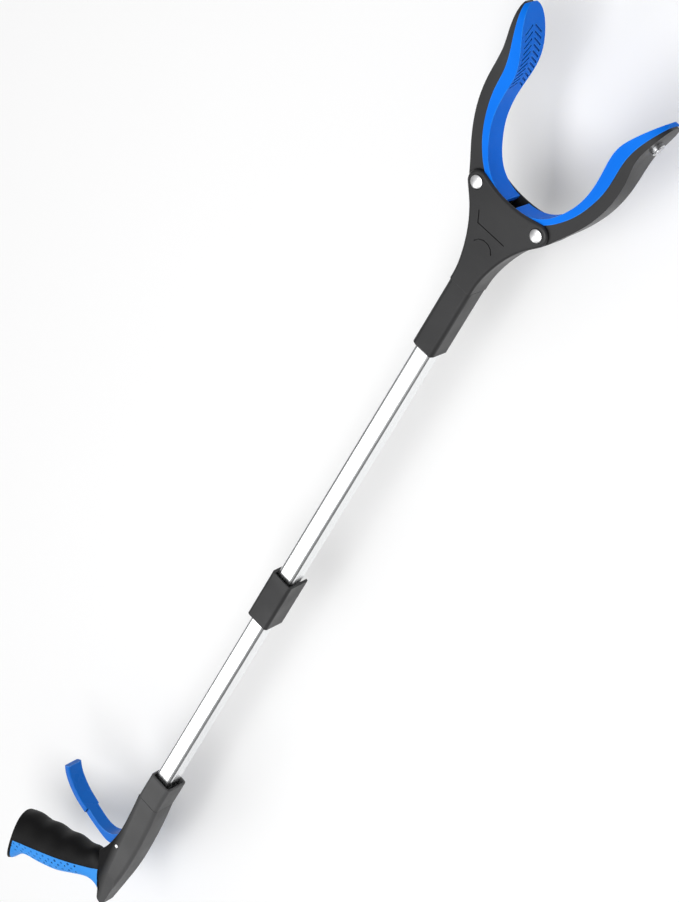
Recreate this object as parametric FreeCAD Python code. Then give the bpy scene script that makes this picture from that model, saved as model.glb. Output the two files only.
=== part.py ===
import FreeCAD, Part
import math
import os
from FreeCAD import Vector as V

# Folding pick-up reacher. Origin on the shaft axis at the fold, +Y to the jaws,
# +X to the handle spine side, +Z out of the face with the rivet heads. Sizes in mm.

# Shaft
TUBE = 12.7
TUBE_ROUND = 2.4
TUBE_WALL = 1.2
LOWER_TUBE_END = -236.0
UPPER_TUBE_START = 7.0
UPPER_TUBE_END = 262.0
FIT = 0.03
RUN = 0.06
GAP = 0.4

# Fold joint
PIN_Z = -7.3
HINGE_PIN_R = 1.3
HINGE_BOSS_R = 2.6
HOUSING_START = -25.0
HOUSING_END = 16.5
HOUSING_WALL = 2.1
HOUSING_FRONT = 9.2
HOUSING_BACK = -10.0
WEB_START = -6.5
WEB_END = -3.4
FOOT_START = -3.1
FOOT_FRONT = 6.0
SPIGOT_LENGTH = 20.0

# Cable and turning roller
CABLE_R = 0.6
CABLE_BORE_R = 1.3
ROLLER_GROOVE_R = 3.5
ROLLER_R = 4.6
ROLLER_HALF = 2.0
ROLLER_Y = -312.0
ROLLER_PIN_R = 1.5

# Handle
HANDLE_HALF = 10.0
COLLAR_TOP = -195.0
COLLAR_BOTTOM = -218.6
COLLAR_LEFT = -8.1
COLLAR_RIGHT = 10.3
TIP_X = 6.4
TIP_Y = -329.6
TIP_R = 3.8
END_ROUND = 32.0
COLLAR_MOUTH = 6.0
SPINE_TOP = -219.0
GRIP_ANGLE = 205.0
GRIP_START = V(-2.0, -312.0, 0)
GRIP_LENGTH = 100.0
FINGER_PITCH = 21.0
FINGER_DEPTH = 0.8
SOFT_SKIN = 2.0
SOFT_PROUD = 0.35
DIMPLE_R = 1.1
HANDLE_WALL = 2.4

# Trigger
PIVOT_X = -2.2
PIVOT_Y = -272.5
PIVOT_PIN_R = 1.3
HUB_R = 7.0
HUB_HALF = 5.0
NECK_HALF = 5.0
PADDLE_HALF = 6.8
TRIGGER_ARM = 9.4
TRIGGER_SWING = 36.0
BARREL_R = 1.6

# Head
NECK_START = 222.0
NECK_END = 274.0
NECK_HALF_X = 8.3
NECK_HALF_Z = 9.0
NECK_ROUND = 3.0
YOKE_START = 274.3
YOKE_HALF = 9.4
YOKE_WALL = 1.8
RIVET_X = 24.1
RIVET_Y = 334.3
RIVET_R = 2.0
RIVET_HEAD_R = 4.1
EAR_R = 7.1
JAW_ROOT_HALF = 7.2
FORK_HALF = 2.6
PLATE_HALF = 2.2
DRIVE_ARM = 14.4
DRIVE_ANGLE = 18.0
JAW_SWING = 27.5
DRIVE_PIN_R = 1.3
SLOT_GAP = 0.35
STEM_X = 5.0
STEM_Z = 5.6
STEM_START = 298.0
SPRING_START = 276.6
SPRING_WIRE = 0.55
SPRING_R = 3.6
SPRING_TURNS = 9
MAGNET_CUP_R = 4.2
MAGNET_R = 3.1
MAGNET_CUP_HEIGHT = 3.6
MAGNET_SINK = 1.2
MAGNET_Y = 420.5

TUBE_HALF = TUBE / 2
BORE_HALF = TUBE_HALF - TUBE_WALL
CHANNEL_HALF = TUBE_HALF + GAP
HOUSING_HALF = CHANNEL_HALF + HOUSING_WALL


def box(x0, x1, y0, y1, z0, z1):
    return Part.makeBox(x1 - x0, y1 - y0, z1 - z0, V(x0, y0, z0))


def rod_z(x, y, r, z0, z1):
    return Part.makeCylinder(r, z1 - z0, V(x, y, z0), V(0, 0, 1))


def rod_x(y, z, r, x0, x1):
    return Part.makeCylinder(r, x1 - x0, V(x0, y, z), V(1, 0, 0))


def rod_y(x, z, r, y0, y1):
    return Part.makeCylinder(r, y1 - y0, V(x, y0, z), V(0, 1, 0))


def union(shapes):
    return shapes[0].multiFuse(shapes[1:]).removeSplitter()


def bar(x0, x1, z0, z1, r, y0, y1):
    """Bar along Y with a rounded rectangular section."""
    solid = box(x0, x1, y0, y1, z0, z1)
    edges = [e for e in solid.Edges if abs(e.tangentAt(e.FirstParameter).y) > 0.99]
    return solid.makeFillet(r, edges)


def square_bar(half, r, y0, y1):
    return bar(-half, half, -half, half, r, y0, y1)


def curve(points):
    spline = Part.BSplineCurve()
    spline.interpolate([V(x, y, 0) for x, y in points])
    return spline.toShape()


def line(a, b):
    return Part.makeLine(V(a[0], a[1], 0), V(b[0], b[1], 0))


def arc(a, b, c):
    return Part.Arc(V(*a, 0), V(*b, 0), V(*c, 0)).toShape()


def smooth(points, start, end):
    """Curve through the points that leaves and arrives in the given directions."""
    spline = Part.BSplineCurve()
    spline.interpolate([V(x, y, 0) for x, y in points], InitialTangent=V(*start, 0), FinalTangent=V(*end, 0))
    return spline.toShape()


def turned(degrees):
    return (-math.sin(math.radians(degrees)), math.cos(math.radians(degrees)))


def slab(edges, z0, z1):
    """Solid from a closed loop of edges in the plane of the tool."""
    face = Part.Face(Part.Wire(Part.__sortEdges__(edges)))
    face.translate(V(0, 0, z0))
    return face.extrude(V(0, 0, z1 - z0))


def polygon(points, z0, z1):
    return slab([line(a, b) for a, b in zip(points, points[1:] + points[:1])], z0, z1)


def mirrored(shape):
    return shape.mirror(V(0, 0, 0), V(1, 0, 0))


def on_circle(x, y, r, degrees):
    return (x + r * math.cos(math.radians(degrees)), y + r * math.sin(math.radians(degrees)))


# Shaft and fold

def make_tube(start, end):
    outer = square_bar(TUBE_HALF, TUBE_ROUND, start, end)
    return outer.cut(square_bar(BORE_HALF, TUBE_ROUND - TUBE_WALL, start - 1, end + 1))


def make_housing():
    body = bar(-HOUSING_HALF, HOUSING_HALF, HOUSING_BACK, HOUSING_FRONT, 2.2, HOUSING_START, HOUSING_END)
    body = body.makeChamfer(0.8, [e for e in body.Edges if abs(e.BoundBox.YMax - HOUSING_START) < 0.01])
    socket = square_bar(TUBE_HALF + FIT, TUBE_ROUND, HOUSING_START - 1, WEB_START)
    channel = box(-CHANNEL_HALF, CHANNEL_HALF, WEB_END, HOUSING_END + 1, HOUSING_BACK - 1, CHANNEL_HALF)
    nest = box(-CHANNEL_HALF, CHANNEL_HALF, HOUSING_START - 1, WEB_END, HOUSING_BACK - 1, -TUBE_HALF - 1.5)
    mouth = Part.makeCylinder(26, 40, V(-20, HOUSING_END + 2, CHANNEL_HALF + 25.5), V(1, 0, 0))
    mouth = mouth.common(box(-CHANNEL_HALF, CHANNEL_HALF, 5, 20, 5, HOUSING_FRONT - 1.2))
    cable_way = rod_y(0, 0, CABLE_BORE_R, WEB_START - 1, WEB_END + 1)
    blind_end = HOUSING_HALF - 1.0
    pins = rod_x(0, PIN_Z, HINGE_PIN_R + FIT, -HOUSING_HALF - 1, blind_end)
    for tool in (socket, channel, nest, mouth, cable_way, pins):
        body = body.cut(tool)
    return body


def make_hinge_pins():
    inner = 2.4
    left = rod_x(0, PIN_Z, HINGE_PIN_R, -HOUSING_HALF - 0.2, -inner)
    right = rod_x(0, PIN_Z, HINGE_PIN_R, inner, HOUSING_HALF - 1.1)
    return Part.makeCompound([left, right])


def make_knuckle():
    half = TUBE_HALF
    foot = box(-half, half, FOOT_START, UPPER_TUBE_START, -4.2, FOOT_FRONT)
    cheek = box(-half, half, -HINGE_BOSS_R, HINGE_BOSS_R, PIN_Z, -4.2)
    shoulder = box(-half, half, 0, UPPER_TUBE_START, PIN_Z + 1.2, -4.2)
    boss = rod_x(0, PIN_Z, HINGE_BOSS_R, -half, half)
    spigot = square_bar(BORE_HALF - FIT, 1.1, UPPER_TUBE_START - 0.5, UPPER_TUBE_START + SPIGOT_LENGTH)
    body = union([foot, cheek, shoulder, boss, spigot])
    body = body.cut(box(-2, 2, -5, 3.2, PIN_Z - 4, -4.2))
    body = body.cut(rod_x(0, PIN_Z, HINGE_PIN_R + RUN, -half - 1, half + 1))
    return body.cut(rod_y(0, 0, CABLE_BORE_R, FOOT_START - 1, UPPER_TUBE_START + SPIGOT_LENGTH + 1))


# Cable

def make_lower_cable():
    right = 2 * ROLLER_GROOVE_R
    up = rod_y(0, 0, CABLE_R, ROLLER_Y, WEB_END - 0.4)
    anchor_y = PIVOT_Y - TRIGGER_ARM * math.sin(math.radians(TRIGGER_SWING / 2))
    back = rod_y(right, 0, CABLE_R, ROLLER_Y, anchor_y - BARREL_R - 0.8)
    ring = Part.makeTorus(ROLLER_GROOVE_R, CABLE_R, V(ROLLER_GROOVE_R, ROLLER_Y, 0), V(0, 0, 1))
    turn = ring.common(box(-2, right + 2, ROLLER_Y - 8, ROLLER_Y, -2, 2))
    return union([up, turn, back])


def make_roller():
    x = ROLLER_GROOVE_R
    wheel = rod_z(x, ROLLER_Y, ROLLER_R, -ROLLER_HALF, ROLLER_HALF)
    groove = Part.makeTorus(ROLLER_GROOVE_R, CABLE_R + 0.35, V(x, ROLLER_Y, 0), V(0, 0, 1))
    rim = rod_z(x, ROLLER_Y, ROLLER_R + 1, -0.95, 0.95).cut(rod_z(x, ROLLER_Y, ROLLER_GROOVE_R, -1, 1))
    bore = rod_z(x, ROLLER_Y, ROLLER_PIN_R + RUN, -3, 3)
    lightening = [rod_z(*on_circle(x, ROLLER_Y, 2.5, 60 + 120 * k), 0.35, -3, 3) for k in range(3)]
    body = wheel.cut(groove).cut(rim).cut(bore)
    for hole in lightening:
        body = body.cut(hole)
    return body


# Handle

def grip_point(t, n, z=0.0):
    """Point at distance t along the grip axis and n towards the palm."""
    a = math.radians(GRIP_ANGLE)
    return GRIP_START + V(math.cos(a), math.sin(a), 0) * t + V(-math.sin(a), math.cos(a), 0) * n + V(0, 0, z)


# Grip stations: distance, palm edge, half thickness
GRIP_STATIONS = [
    (1, 18.5, 8.2), (8, 9.5, 9.4), (15, 8.2, 10.8), (23, 9.8, 12.2), (32, 12.6, 13.3),
    (42, 15.4, 13.9), (52, 16.9, 14.0), (62, 17.3, 14.0), (72, 17.4, 14.0), (80, 19.4, 13.9),
    (88, 25.5, 13.4), (94, 30.0, 12.8), (GRIP_LENGTH, 32.0, 12.2),
]


def grip_section(t, palm, half):
    finger = -17.6 + FINGER_DEPTH * math.cos(2 * math.pi * t / FINGER_PITCH)
    return ((palm + finger) / 2, (palm - finger) / 2, half)


def grip_loft(shrink, first=0):
    wires = []
    for t, palm, half in GRIP_STATIONS[first:]:
        mid, reach, half = grip_section(t, palm, half)
        ring = []
        for k in range(16):
            a = 2 * math.pi * k / 16
            ring.append(grip_point(t, mid + (reach - shrink) * math.cos(a), (half - shrink) * math.sin(a)))
        spline = Part.BSplineCurve()
        spline.interpolate(ring, PeriodicFlag=True)
        wires.append(Part.Wire(spline.toShape()))
    return Part.makeLoft(wires, True, False)


def grip_end(shift):
    """Slanting block, rounded across its thickness, that the far end of the grip is trimmed to."""
    low = grip_point(81.0 - shift, -18.6)
    high = grip_point(95.2 - shift, 31.0)
    across = (high - low).normalize()
    inward = V(-across.y, across.x, 0)
    rim = low + inward * END_ROUND - across * 40
    up = V(0, 0, END_ROUND)
    far = inward * 130
    edges = [Part.Arc(rim + up, rim - inward * END_ROUND, rim - up).toShape(), Part.makeLine(rim - up, rim - up + far),
             Part.makeLine(rim - up + far, rim + up + far), Part.makeLine(rim + up + far, rim + up)]
    return Part.Face(Part.Wire(edges)).extrude(across * 130)


def make_spine():
    left = curve([(COLLAR_LEFT, SPINE_TOP), (-7.0, -232), (-6.3, -245), (-6.1, -258), (-7.3, -270),
                  (-10, -283), (-14, -294)])
    low = on_circle(TIP_X, TIP_Y, TIP_R, 196)
    tip = arc(low, on_circle(TIP_X, TIP_Y, TIP_R, 276), on_circle(TIP_X, TIP_Y, TIP_R, 356))
    way = turned(196)
    inner = (low[0] - 15.5 * way[0], low[1] - 15.5 * way[1])
    right = smooth([on_circle(TIP_X, TIP_Y, TIP_R, 356), (11.4, -312), (12.9, -296), (13.7, -280), (13.5, -262),
                    (12.4, -240), (COLLAR_RIGHT, SPINE_TOP)], turned(356), (-0.12, 1))
    edges = [left, line((-14, -294), inner), line(inner, low), tip, right,
             line((COLLAR_RIGHT, SPINE_TOP), (COLLAR_LEFT, SPINE_TOP))]
    return slab(edges, -HANDLE_HALF, HANDLE_HALF)


def facet_cutter(side):
    """Wedge that leaves the flat facet of the spine narrowing towards its tip."""
    a = V(-5.5, -215, HANDLE_HALF * side)
    b = V(6.8, -340, HANDLE_HALF * side)
    along = (b - a).normalize()
    out = V(along.y, -along.x, 0)
    low = a + out * 45 + V(0, 0, -13 * side)
    high = a + out * 45 + V(0, 0, 20 * side)
    top = a + V(0, 0, 20 * side)
    face = Part.Face(Part.makePolygon([a, low, high, top, a]))
    return face.extrude(b - a)


def tip_cutter(side):
    """Wedge that thins the spine towards its tip."""
    z = HANDLE_HALF * side
    points = [V(-40, -299.2, z), V(-40, -340, z - 6.6 * side), V(-40, -340, z + 10 * side), V(-40, -299.2, z + 10 * side)]
    return Part.Face(Part.makePolygon(points + points[:1])).extrude(V(80, 0, 0))


def soft_region():
    """Area of the grip that the soft skin covers, seen from the face."""
    a = grip_point(-3, -7)
    b = grip_point(84, 4)
    c = grip_point(90, 9)
    d = grip_point(103, 60)
    e = V(13.0, -390, 0)
    f = V(6.2, -331, 0)
    g = V(0.0, -302, 0)
    points = [(p.x, p.y) for p in (a, b, c, d, e, f, g)]
    return polygon(points, -30, 30)


def dimples():
    """Rows of small hollows along both sides of the soft skin."""
    balls = []
    for row, depth in enumerate((0.16, 0.38, 0.6)):
        for k in range(11):
            t = 20.5 + 6.0 * k + 3.0 * (row % 2)
            palm, half = [(p, h) for s, p, h in GRIP_STATIONS if s <= t][-1]
            mid, reach, half = grip_section(t, palm, half)
            n = mid + reach * depth + 0.05 * (t - 20) * (0.78 - depth)
            z = (half + SOFT_PROUD) * math.sqrt(1 - ((n - mid) / reach) ** 2) + 0.45
            for side in (-1, 1):
                balls.append(Part.makeSphere(DIMPLE_R, grip_point(t, n, side * z)))
    return Part.makeCompound(balls)


def make_overmould():
    skin = grip_loft(-SOFT_PROUD).common(grip_end(2.5)).common(soft_region())
    skin = skin.cut(grip_loft(SOFT_SKIN)).cut(make_spine())
    skin = biggest(skin)
    return biggest(skin.cut(dimples()))


def biggest(shape):
    return max(shape.Solids, key=lambda s: s.Volume)


def handle_cavity():
    mouth = [(-40, -260.5), (-3, -260.5), (10.0, -263), (10.0, -282), (3, -283.5), (-2, -289.5),
             (-12, -291.5), (-40, -291.5)]
    hub_room = polygon(mouth, -HUB_HALF - GAP, HUB_HALF + GAP)
    cable_room = box(-2.2, 9.2, ROLLER_Y, LOWER_TUBE_END + 0.5, -1.6, 1.6)
    roller_room = rod_z(ROLLER_GROOVE_R, ROLLER_Y, ROLLER_R + GAP, -ROLLER_HALF - GAP, ROLLER_HALF + GAP)
    tube_seat = square_bar(TUBE_HALF + FIT, TUBE_ROUND, LOWER_TUBE_END - 0.2, SPINE_TOP + 1)
    inner = grip_loft(SOFT_SKIN + HANDLE_WALL).common(grip_end(SOFT_SKIN + HANDLE_WALL))
    inner = inner.common(polygon([(p.x, p.y) for p in (grip_point(14, -40), grip_point(120, -40),
                                                       grip_point(120, 60), grip_point(14, 60))], -30, 30))
    return [hub_room, cable_room, roller_room, tube_seat, inner]


SCREWS = [(6.5, -246.0), (-4.5, -301.0)]
GRIP_SCREW_T = 50.0


def screw_spots():
    g = grip_point(GRIP_SCREW_T, 0)
    return SCREWS + [(g.x, g.y)]


def make_handle():
    spine = make_spine()
    outside = [e for e in spine.Edges if abs(abs(e.CenterOfMass.z) - HANDLE_HALF) < 0.01
               and e.CenterOfMass.x > 2 and e.CenterOfMass.y < SPINE_TOP - 1]
    spine = spine.makeFillet(2.6, outside)
    for side in (-1, 1):
        spine = spine.cut(facet_cutter(side)).cut(tip_cutter(side))
    grip = grip_loft(0).common(grip_end(0))
    body = union([spine, grip])
    body = body.cut(soft_cut())
    for tool in handle_cavity():
        body = body.cut(tool)
    g = screw_spots()[2]
    posts = rod_z(g[0], g[1], 3.4, -HANDLE_HALF, HANDLE_HALF)
    body = body.fuse(posts)
    body = body.cut(rod_z(PIVOT_X, PIVOT_Y, PIVOT_PIN_R + FIT, -HANDLE_HALF - 5, HANDLE_HALF + 5))
    body = body.cut(rod_z(ROLLER_GROOVE_R, ROLLER_Y, ROLLER_PIN_R + FIT, -7.1, 7.1))
    for x, y in screw_spots():
        body = body.cut(rod_z(x, y, 1.0 + FIT, -20, 5))
        body = body.cut(rod_z(x, y, 2.2, -20, -HANDLE_HALF + 3.0))
    front = biggest(body.common(box(-120, 40, -420, -200, 0, 40)))
    back = biggest(body.common(box(-120, 40, -420, -200, -40, 0)))
    return front, back


def soft_cut():
    """Seat of the soft skin in the grip."""
    seat = grip_loft(-2.0).common(grip_end(2.5)).common(soft_region())
    seat = seat.cut(grip_loft(SOFT_SKIN)).cut(make_spine())
    return biggest(seat)


def make_handle_screws():
    screws = []
    for x, y in screw_spots():
        shank = rod_z(x, y, 1.0, -HANDLE_HALF + 3.0, 4.5)
        head = rod_z(x, y, 2.0, -HANDLE_HALF + 1.4, -HANDLE_HALF + 3.0)
        slot = box(x - 1.3, x + 1.3, y - 0.25, y + 0.25, -HANDLE_HALF + 1, -HANDLE_HALF + 2.0)
        cross = box(x - 0.25, x + 0.25, y - 1.3, y + 1.3, -HANDLE_HALF + 1, -HANDLE_HALF + 2.0)
        screws.append(shank.fuse(head).cut(slot).cut(cross))
    return Part.makeCompound(screws)


def make_collar():
    body = bar(COLLAR_LEFT, COLLAR_RIGHT, -HANDLE_HALF, HANDLE_HALF, 2.6, COLLAR_BOTTOM, COLLAR_TOP)
    body = body.makeChamfer(0.6, [e for e in body.Edges if abs(e.BoundBox.YMin - COLLAR_TOP) < 0.01])
    seat = square_bar(TUBE_HALF + FIT, TUBE_ROUND, COLLAR_BOTTOM - 1, COLLAR_TOP + 1)
    mouth = bar(COLLAR_LEFT + 1.5, COLLAR_RIGHT - 1.5, -HANDLE_HALF + 1.6, HANDLE_HALF - 1.6, 1.8,
                COLLAR_TOP - COLLAR_MOUTH, COLLAR_TOP + 1)
    return body.cut(seat).cut(mouth)


# Trigger

def make_trigger():
    front = [(-67.2, -257.2), (-63, -262.2), (-56, -267.0), (-48, -270.6), (-40, -272.9), (-33, -274.6),
             (-27, -275.9), (-20, -276.2), (-14, -274.2), (-10, -270.5), (-7.6, -267.2)]
    rear = [(-71, -259.8), (-65.5, -266.2), (-58, -271.2), (-49.5, -274.9), (-40.5, -277.2), (-31, -279.4),
            (-21, -281.0), (-12, -281.2), (-6.6, -278.0)]
    outline = [curve(front), line(front[-1], rear[-1]), curve(rear), line(rear[0], front[0])]
    neck = slab(outline, -NECK_HALF, NECK_HALF)
    paddle = slab(outline, -PADDLE_HALF, PADDLE_HALF).common(box(-90, -38.5, -300, -240, -20, 20))
    hub = rod_z(PIVOT_X, PIVOT_Y, HUB_R, -HUB_HALF, HUB_HALF)
    tip_x, tip_y = on_circle(PIVOT_X, PIVOT_Y, TRIGGER_ARM, -TRIGGER_SWING / 2)
    end = rod_z(tip_x, tip_y, BARREL_R + 0.9, -HUB_HALF, HUB_HALF)
    arm = polygon([(PIVOT_X, PIVOT_Y + 4), (tip_x, tip_y + 2.4), (tip_x, tip_y - 2.4), (PIVOT_X, PIVOT_Y - 5)],
                  -HUB_HALF, HUB_HALF)
    body = union([neck, paddle, hub, end, arm])
    cable_slot = box(PIVOT_X - 2.8, 20, PIVOT_Y - 20, PIVOT_Y + 20, -1.2, 1.2)
    body = body.cut(cable_slot)
    body = body.cut(rod_z(PIVOT_X, PIVOT_Y, PIVOT_PIN_R + RUN, -20, 20))
    body = body.cut(rod_z(tip_x, tip_y, BARREL_R + FIT, -20, 20))
    rims = [e for e in body.Edges if abs(abs(e.CenterOfMass.z) - PADDLE_HALF) < 0.05 and e.Length > 12]
    body = body.makeFillet(1.1, rims)
    return body, rod_z(tip_x, tip_y, BARREL_R, -HUB_HALF + 0.3, HUB_HALF - 0.3)


def make_trigger_pin():
    shaft = rod_z(PIVOT_X, PIVOT_Y, PIVOT_PIN_R, -HANDLE_HALF + 0.4, HANDLE_HALF - 0.2)
    return shaft


# Head

def yoke_profile(inset, z0, z1):
    """Fork outline: flank, ear, shallow valley, ear, flank."""
    ear = EAR_R - inset
    low = on_circle(RIVET_X, RIVET_Y, ear, -38)
    top = on_circle(RIVET_X, RIVET_Y, ear, 105)
    middle = on_circle(RIVET_X, RIVET_Y, ear, 30)
    flank = [(NECK_HALF_X, YOKE_START), (8.7, 283), (10.3, 292), (13.2, 302), (17.1, 311.5), (22, 320)]
    flank = [(x - inset * 0.93, y + inset * 0.2 * k / 5) for k, (x, y) in enumerate(flank)] + [low]
    valley = [top, (13.5, 338.9 - inset), (0, 337.6 - inset), (-13.5, 338.9 - inset), (-top[0], top[1])]
    up = turned(-38)
    over = turned(105)
    arc = Part.Arc(V(*low, 0), V(*middle, 0), V(*top, 0)).toShape()
    right = smooth(flank, (0.01, 1), up)
    edges = [right, arc, smooth(valley, over, (over[0], -over[1])), mirrored(arc), mirrored(right),
             line((-flank[0][0], flank[0][1]), flank[0])]
    return slab(edges, z0, z1)


def make_yoke():
    body = yoke_profile(0, -YOKE_HALF, YOKE_HALF)
    rims = [e for e in body.Edges if abs(abs(e.CenterOfMass.z) - YOKE_HALF) < 0.01
            and e.CenterOfMass.y > YOKE_START + 1]
    body = body.makeFillet(1.8, rims)
    room = yoke_profile(2.0, -YOKE_HALF + YOKE_WALL, YOKE_HALF - YOKE_WALL)
    above = box(-60, 60, 324.0, 360, -YOKE_HALF + YOKE_WALL, YOKE_HALF - YOKE_WALL)
    hubs = [rod_z(s * RIVET_X, RIVET_Y, 8.0, -YOKE_HALF + YOKE_WALL, YOKE_HALF - YOKE_WALL) for s in (-1, 1)]
    stem_room = box(-STEM_X - GAP, STEM_X + GAP, SPRING_START - 1.5, 330, -STEM_Z - GAP, STEM_Z + GAP)
    lower = room.common(box(-60, 60, 303, 360, -20, 20))
    holes = [rod_z(s * RIVET_X, RIVET_Y, RIVET_R + FIT, -20, 20) for s in (-1, 1)]
    seats = [rod_z(s * RIVET_X, RIVET_Y, RIVET_HEAD_R + 0.5, YOKE_HALF - 0.7, 20) for s in (-1, 1)]
    spigot = bar(-6.6, 6.6, -7.2, 7.2, 1.5, UPPER_TUBE_END + 0.5, YOKE_START + 1)
    bore = rod_y(0, 0, 4.6, UPPER_TUBE_END - 1, SPRING_START - 1.5)
    body = body.fuse(spigot)
    for tool in [lower, above, stem_room, bore] + hubs + holes + seats:
        body = body.cut(tool)
    for x, y in YOKE_SCREWS:
        body = body.cut(rod_z(x, y, 1.0 + FIT, -20, 6.5))
        body = body.cut(rod_z(x, y, 2.2, -20, -YOKE_HALF + 1.6))
    for mark in marks():
        body = body.cut(mark)
    front = biggest(body.common(box(-60, 60, 250, 360, 0, 20)))
    back = biggest(body.common(box(-60, 60, 250, 360, -20, 0)))
    return front, back


YOKE_SCREWS = [(8.0, 299.0), (-8.0, 299.0)]


def groove(points, width):
    """Thin groove in the front face along a chain of points."""
    runs = []
    for a, b in zip(points, points[1:]):
        length = math.hypot(b[0] - a[0], b[1] - a[1])
        run = Part.makeBox(length + width, width, 2, V(-width / 2, -width / 2, YOKE_HALF - 0.5))
        run.rotate(V(0, 0, 0), V(0, 0, 1), math.degrees(math.atan2(b[1] - a[1], b[0] - a[0])))
        run.translate(V(a[0], a[1], 0))
        runs.append(run)
    return union(runs)


def marks():
    """Plain decorative grooves: a corner line and a low arch."""
    arch = [on_circle(0, 301.5, 7.5, 155 - 26 * k) for k in range(6)]
    return [groove([(-13.8, 321.5), (-10.5, 315.0), (10.5, 315.0)], 0.8), groove(arch, 0.8)]


def make_yoke_screws():
    screws = []
    for x, y in YOKE_SCREWS:
        shank = rod_z(x, y, 1.0, -YOKE_HALF + 1.6, 6.0)
        head = rod_z(x, y, 2.0, -YOKE_HALF + 0.3, -YOKE_HALF + 1.6)
        slot = box(x - 1.3, x + 1.3, y - 0.25, y + 0.25, -YOKE_HALF - 1, -YOKE_HALF + 0.9)
        cross = box(x - 0.25, x + 0.25, y - 1.3, y + 1.3, -YOKE_HALF - 1, -YOKE_HALF + 0.9)
        screws.append(shank.fuse(head).cut(slot).cut(cross))
    return Part.makeCompound(screws)


def make_neck():
    body = bar(-NECK_HALF_X, NECK_HALF_X, -NECK_HALF_Z, NECK_HALF_Z, NECK_ROUND, NECK_START, NECK_END)
    body = body.makeChamfer(1.4, [e for e in body.Edges if abs(e.BoundBox.YMax - NECK_START) < 0.01])
    seat = square_bar(TUBE_HALF + FIT, TUBE_ROUND, NECK_START - 1, UPPER_TUBE_END + 0.2)
    room = bar(-6.6 - FIT, 6.6 + FIT, -7.2 - FIT, 7.2 + FIT, 1.5, UPPER_TUBE_END + 0.2, NECK_END + 1)
    return body.cut(seat).cut(room)


def make_rivet(side):
    x = side * RIVET_X
    shaft = rod_z(x, RIVET_Y, RIVET_R, -YOKE_HALF - 0.4, YOKE_HALF)
    dome_r = 9.0
    dome = Part.makeSphere(dome_r, V(x, RIVET_Y, YOKE_HALF - 0.7 + 2.0 - dome_r))
    dome = dome.common(rod_z(x, RIVET_Y, RIVET_HEAD_R, YOKE_HALF - 0.7, YOKE_HALF + 3))
    back = rod_z(x, RIVET_Y, RIVET_HEAD_R - 0.4, -YOKE_HALF - 0.9, -YOKE_HALF)
    back = back.makeChamfer(0.3, [e for e in back.Edges if e.BoundBox.ZMax < -YOKE_HALF - 0.8])
    return union([shaft, dome, back])


# Jaws, drawn for the right side

OUTER = [(RIVET_X, 327.3), (29.6, 330.2), (34.2, 337.5), (40.2, 348.2), (45.9, 360.2), (50.2, 374), (52.0, 389),
         (51.6, 401), (51.3, 411), (53.2, 421.5), (55.4, 430.0), (56.8, 436.5)]
MIDDLE = [(4.2, 334.2), (12, 335.4), (19, 338.2), (24.8, 342.2), (31.2, 349.4), (37, 358.8), (41.8, 371.5),
          (44.4, 385), (44.7, 398), (45.8, 409), (48.5, 419.5), (51.6, 428.0), (55.0, 436.5)]
INNER = [(3.7, 337.2), (12.5, 338.8), (19, 342), (24.4, 346.8), (30.2, 355.5), (34.8, 366), (37.1, 378),
         (37.2, 390), (36.9, 401), (38.6, 411), (42.4, 420), (46.8, 428), (51.0, 435), (53.4, 438.6)]
TAIL = [(4.2, 334.2), (5.2, 330.0), (8.2, 327.0), (12.5, 326.2), (18, 326.8), (RIVET_X, 327.3)]
# Half width of the jaw over its length
LEAF = [(320, 7.2), (350, 7.2), (372, 7.5), (390, 7.9), (400, 8.8), (409, 10.6), (418, 11.8), (426, 11.4),
        (433, 9.0), (437, 5.4), (438.6, 0.0)]


def leaf(trim, top):
    """Side view of the jaw, cut through its whole depth."""
    scale = (top - 320) / (LEAF[-1][0] - 320)
    upper = [V(0, 320 + (y - 320) * scale, max(w - trim, 0)) for y, w in LEAF]
    lower = [V(0, p.y, -p.z) for p in reversed(upper[:-1])]
    spline = Part.BSplineCurve()
    spline.interpolate(upper + lower)
    face = Part.Face(Part.Wire([spline.toShape(), Part.makeLine(lower[-1], upper[0])]))
    return face.extrude(V(90, 0, 0))


def drive_spot():
    return on_circle(RIVET_X, RIVET_Y, DRIVE_ARM, 180 + DRIVE_ANGLE)


def magnet_frame():
    """Middle of the magnet seat on the outer face, and the direction it looks."""
    (x0, y0), (x1, y1) = OUTER[8], OUTER[9]
    share = (MAGNET_Y - y0) / (y1 - y0)
    run = math.hypot(x1 - x0, y1 - y0)
    return V(x0 + (x1 - x0) * share, MAGNET_Y, 0), V((y1 - y0) / run, -(x1 - x0) / run, 0)


def make_arm():
    edges = [curve(OUTER), line(OUTER[-1], MIDDLE[-1]), curve(MIDDLE), curve(TAIL)]
    body = slab(edges, -12, 12).common(leaf(0.5, 437.2))
    hub = rod_z(RIVET_X, RIVET_Y, 7.0, -JAW_ROOT_HALF, JAW_ROOT_HALF)
    body = union([body, hub.cut(pad_blank())])
    fork = box(-5, RIVET_X - 6.6, 300, 360, -FORK_HALF, FORK_HALF)
    body = body.cut(fork)
    body = body.cut(rod_z(RIVET_X, RIVET_Y, RIVET_R + RUN, -20, 20))
    px, py = drive_spot()
    return body.cut(rod_z(px, py, DRIVE_PIN_R + FIT, -20, 20))


def pad_blank():
    edges = [curve(INNER), line(INNER[-1], MIDDLE[-1]), curve(MIDDLE), line(MIDDLE[0], INNER[0])]
    return slab(edges, -12, 12)


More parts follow.
